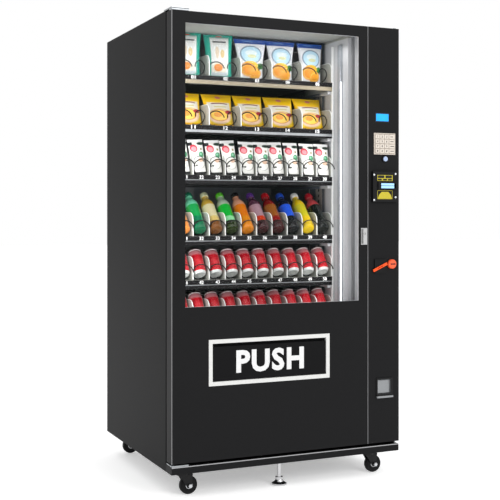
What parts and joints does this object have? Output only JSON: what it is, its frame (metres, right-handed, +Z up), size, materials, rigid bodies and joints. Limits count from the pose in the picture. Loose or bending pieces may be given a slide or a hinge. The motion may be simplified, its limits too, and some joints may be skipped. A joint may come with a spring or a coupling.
{
  "type": "snack vending machine",
  "caption": "Glass-fronted snack vending machine on casters, with two hinged doors, lane trays, wire spirals, a push-flap delivery bin and a payment column.",
  "frame": {"origin": "on the floor under the middle of the machine's box", "axes": "+Z up, -Y out of the front, +X towards the control column"},
  "size_m": [1.045, 0.92, 1.94],
  "materials": {
    "black_powder_coat": "fine-textured satin powder coat",
    "liner": "smooth light grey enamel",
    "bin_steel": "folded sheet, satin",
    "zinc_steel": "zinc-plated, satin",
    "tray_steel": "galvanised sheet",
    "spiral_wire": "black coated wire",
    "window_glass": "clear double glazing",
    "seal_rubber": "matt black magnetic gasket",
    "white_trim": "white",
    "flap_plastic": "fine-grained black",
    "chrome": "bright, lightly brushed",
    "lock_steel": "turned face",
    "display_lens": "lit blue LCD",
    "keypad_silicone": "beige silicone",
    "keypad_plate": "beige",
    "fitting_plastic": "black moulded",
    "orange_plastic": "orange moulded",
    "cup_steel": "pressed stainless",
    "unit_metal": "black enamelled compressor and condenser",
    "caster_nylon": "black",
    "caster_tyre": "black rubber"
  },
  "bodies": {
    "cabinet": {"left_side_panel": "black_powder_coat", "right_side_panel": "black_powder_coat", "top_panel": "black_powder_coat", "back_panel": "black_powder_coat", "base_frame": "black_powder_coat", "column_partition": "liner", "chamber_floor": "liner", "delivery_bin": "bin_steel", "upper_hinge_bracket": "zinc_steel", "lower_hinge_bracket": "zinc_steel", "column_hinge_rod": "zinc_steel", "led_lamp": "white_trim", "coin_changer": "fitting_plastic", "refrigeration_unit": "unit_metal", "tray_1": "tray_steel", "tray_2": "tray_steel", "tray_3": "tray_steel", "tray_4": "tray_steel", "tray_5": "tray_steel", "tray_6": "tray_steel"},
    "main_door": {"door_frame": "black_powder_coat", "door_glass": "window_glass", "door_gasket": "seal_rubber", "flap_bezel": "white_trim", "handle_plate": "chrome"},
    "push_flap": {"push_flap": "flap_plastic"},
    "handle_hub": {"handle_spindle": "zinc_steel"},
    "handle_lever": {"handle_lever": "chrome"},
    "lock": {"lock_cylinder": "lock_steel"},
    "control_door": {"control_door": "black_powder_coat", "display": "display_lens", "keypad_plate": "keypad_plate", "button_ring": "chrome", "bill_bezel": "fitting_plastic", "bill_validator": "fitting_plastic", "coin_inlet": "fitting_plastic", "coin_cup": "cup_steel"},
    "keypad": {"keypad_mat": "keypad_silicone"},
    "button": {"button_cap": "lock_steel"},
    "coin_return": {"coin_return_knob": "orange_plastic"},
    "coin_flap": {"coin_flap": "cup_steel"},
    "foot": {"levelling_foot": "chrome"},
    "front_left_swivel": {"front_left_caster_fork": "caster_nylon"},
    "front_left_wheel": {"front_left_caster_wheel": "caster_tyre"},
    "front_right_swivel": {"front_right_caster_fork": "caster_nylon"},
    "front_right_wheel": {"front_right_caster_wheel": "caster_tyre"},
    "rear_left_swivel": {"rear_left_caster_fork": "caster_nylon"},
    "rear_left_wheel": {"rear_left_caster_wheel": "caster_tyre"},
    "rear_right_swivel": {"rear_right_caster_fork": "caster_nylon"},
    "rear_right_wheel": {"rear_right_caster_wheel": "caster_tyre"},
    "spiral_01": {"spiral_01": "spiral_wire"},
    "spiral_02": {"spiral_02": "spiral_wire"},
    "spiral_03": {"spiral_03": "spiral_wire"},
    "spiral_04": {"spiral_04": "spiral_wire"},
    "spiral_05": {"spiral_05": "spiral_wire"},
    "spiral_06": {"spiral_06": "spiral_wire"},
    "spiral_07": {"spiral_07": "spiral_wire"},
    "spiral_08": {"spiral_08": "spiral_wire"},
    "spiral_09": {"spiral_09": "spiral_wire"},
    "spiral_10": {"spiral_10": "spiral_wire"}
  },
  "joints": [
    {"name": "main_door_hinge", "type": "hinge", "parent": "cabinet", "child": "main_door", "pos_m": [-0.5075, -0.41, 0.14], "axis": [0, 0, -1], "range_deg": [0, 110]},
    {"name": "control_door_hinge", "type": "hinge", "parent": "cabinet", "child": "control_door", "pos_m": [0.5125, -0.42, 0.14], "axis": [0, 0, 1], "range_deg": [0, 100]},
    {"name": "push_flap_hinge", "type": "hinge", "parent": "main_door", "child": "push_flap", "pos_m": [-0.093, -0.418, 0.5985], "axis": [1, 0, 0], "range_deg": [0, 60]},
    {"name": "handle_turn", "type": "hinge", "parent": "main_door", "child": "handle_hub", "pos_m": [0.347, -0.44, 1.051], "axis": [0, 1, 0], "range_deg": [0, 90]},
    {"name": "handle_pop", "type": "hinge", "parent": "handle_hub", "child": "handle_lever", "pos_m": [0.347, -0.448, 1.0585], "axis": [-1, 0, 0], "range_deg": [0, 35]},
    {"name": "lock_turn", "type": "hinge", "parent": "handle_lever", "child": "lock", "pos_m": [0.347, -0.449, 1.04], "axis": [0, 1, 0], "range_deg": [0, 90]},
    {"name": "keypad_press", "type": "slide", "parent": "control_door", "child": "keypad", "axis": [0, 1, 0], "range_m": [0, 0.0012], "stiffness_N_per_m": 1500},
    {"name": "button_press", "type": "slide", "parent": "control_door", "child": "button", "axis": [0, 1, 0], "range_m": [0, 0.003], "stiffness_N_per_m": 600},
    {"name": "coin_return_turn", "type": "hinge", "parent": "control_door", "child": "coin_return", "pos_m": [0.483, -0.44, 0.908], "axis": [0, 1, 0], "range_deg": [0, 30], "stiffness_Nm_per_rad": 0.08},
    {"name": "coin_flap_hinge", "type": "hinge", "parent": "control_door", "child": "coin_flap", "pos_m": [0.448, -0.434, 0.407], "axis": [1, 0, 0], "range_deg": [0, 45]},
    {"name": "foot_screw", "type": "slide", "parent": "cabinet", "child": "foot", "axis": [0, 0, 1], "range_m": [0, 0.02]},
    {"name": "front_left_swivel_turn", "type": "hinge", "parent": "cabinet", "child": "front_left_swivel", "pos_m": [-0.453, -0.373, 0.09], "axis": [0, 0, 1], "continuous": true},
    {"name": "front_left_wheel_spin", "type": "hinge", "parent": "front_left_swivel", "child": "front_left_wheel", "pos_m": [-0.429, -0.373, 0.03718], "axis": [0, 1, 0], "continuous": true},
    {"name": "front_right_swivel_turn", "type": "hinge", "parent": "cabinet", "child": "front_right_swivel", "pos_m": [0.405, -0.373, 0.09], "axis": [0, 0, 1], "continuous": true},
    {"name": "front_right_wheel_spin", "type": "hinge", "parent": "front_right_swivel", "child": "front_right_wheel", "pos_m": [0.429, -0.373, 0.03718], "axis": [0, 1, 0], "continuous": true},
    {"name": "rear_left_swivel_turn", "type": "hinge", "parent": "cabinet", "child": "rear_left_swivel", "pos_m": [-0.453, 0.393, 0.09], "axis": [0, 0, 1], "continuous": true},
    {"name": "rear_left_wheel_spin", "type": "hinge", "parent": "rear_left_swivel", "child": "rear_left_wheel", "pos_m": [-0.429, 0.393, 0.03718], "axis": [0, 1, 0], "continuous": true},
    {"name": "rear_right_swivel_turn", "type": "hinge", "parent": "cabinet", "child": "rear_right_swivel", "pos_m": [0.405, 0.393, 0.09], "axis": [0, 0, 1], "continuous": true},
    {"name": "rear_right_wheel_spin", "type": "hinge", "parent": "rear_right_swivel", "child": "rear_right_wheel", "pos_m": [0.429, 0.393, 0.03718], "axis": [0, 1, 0], "continuous": true},
    {"name": "spiral_01_turn", "type": "hinge", "parent": "cabinet", "child": "spiral_01", "pos_m": [-0.3935, -0.248, 1.738], "axis": [0, -1, 0], "continuous": true},
    {"name": "spiral_02_turn", "type": "hinge", "parent": "cabinet", "child": "spiral_02", "pos_m": [-0.3205, -0.248, 1.738], "axis": [0, -1, 0], "continuous": true},
    {"name": "spiral_03_turn", "type": "hinge", "parent": "cabinet", "child": "spiral_03", "pos_m": [-0.2475, -0.248, 1.738], "axis": [0, -1, 0], "continuous": true},
    {"name": "spiral_04_turn", "type": "hinge", "parent": "cabinet", "child": "spiral_04", "pos_m": [-0.1745, -0.248, 1.738], "axis": [0, -1, 0], "continuous": true},
    {"name": "spiral_05_turn", "type": "hinge", "parent": "cabinet", "child": "spiral_05", "pos_m": [-0.1015, -0.248, 1.738], "axis": [0, -1, 0], "continuous": true},
    {"name": "spiral_06_turn", "type": "hinge", "parent": "cabinet", "child": "spiral_06", "pos_m": [-0.0285, -0.248, 1.738], "axis": [0, -1, 0], "continuous": true},
    {"name": "spiral_07_turn", "type": "hinge", "parent": "cabinet", "child": "spiral_07", "pos_m": [0.0445, -0.248, 1.738], "axis": [0, -1, 0], "continuous": true},
    {"name": "spiral_08_turn", "type": "hinge", "parent": "cabinet", "child": "spiral_08", "pos_m": [0.1175, -0.248, 1.738], "axis": [0, -1, 0], "continuous": true},
    {"name": "spiral_09_turn", "type": "hinge", "parent": "cabinet", "child": "spiral_09", "pos_m": [0.1905, -0.248, 1.738], "axis": [0, -1, 0], "continuous": true},
    {"name": "spiral_10_turn", "type": "hinge", "parent": "cabinet", "child": "spiral_10", "pos_m": [0.2635, -0.248, 1.738], "axis": [0, -1, 0], "continuous": true}
  ],
  "couplings": [
    {"joint": "spiral_02_turn", "follows": "spiral_01_turn", "ratio": -1},
    {"joint": "spiral_04_turn", "follows": "spiral_03_turn", "ratio": -1},
    {"joint": "spiral_06_turn", "follows": "spiral_05_turn", "ratio": -1},
    {"joint": "spiral_08_turn", "follows": "spiral_07_turn", "ratio": -1},
    {"joint": "spiral_10_turn", "follows": "spiral_09_turn", "ratio": -1}
  ]
}
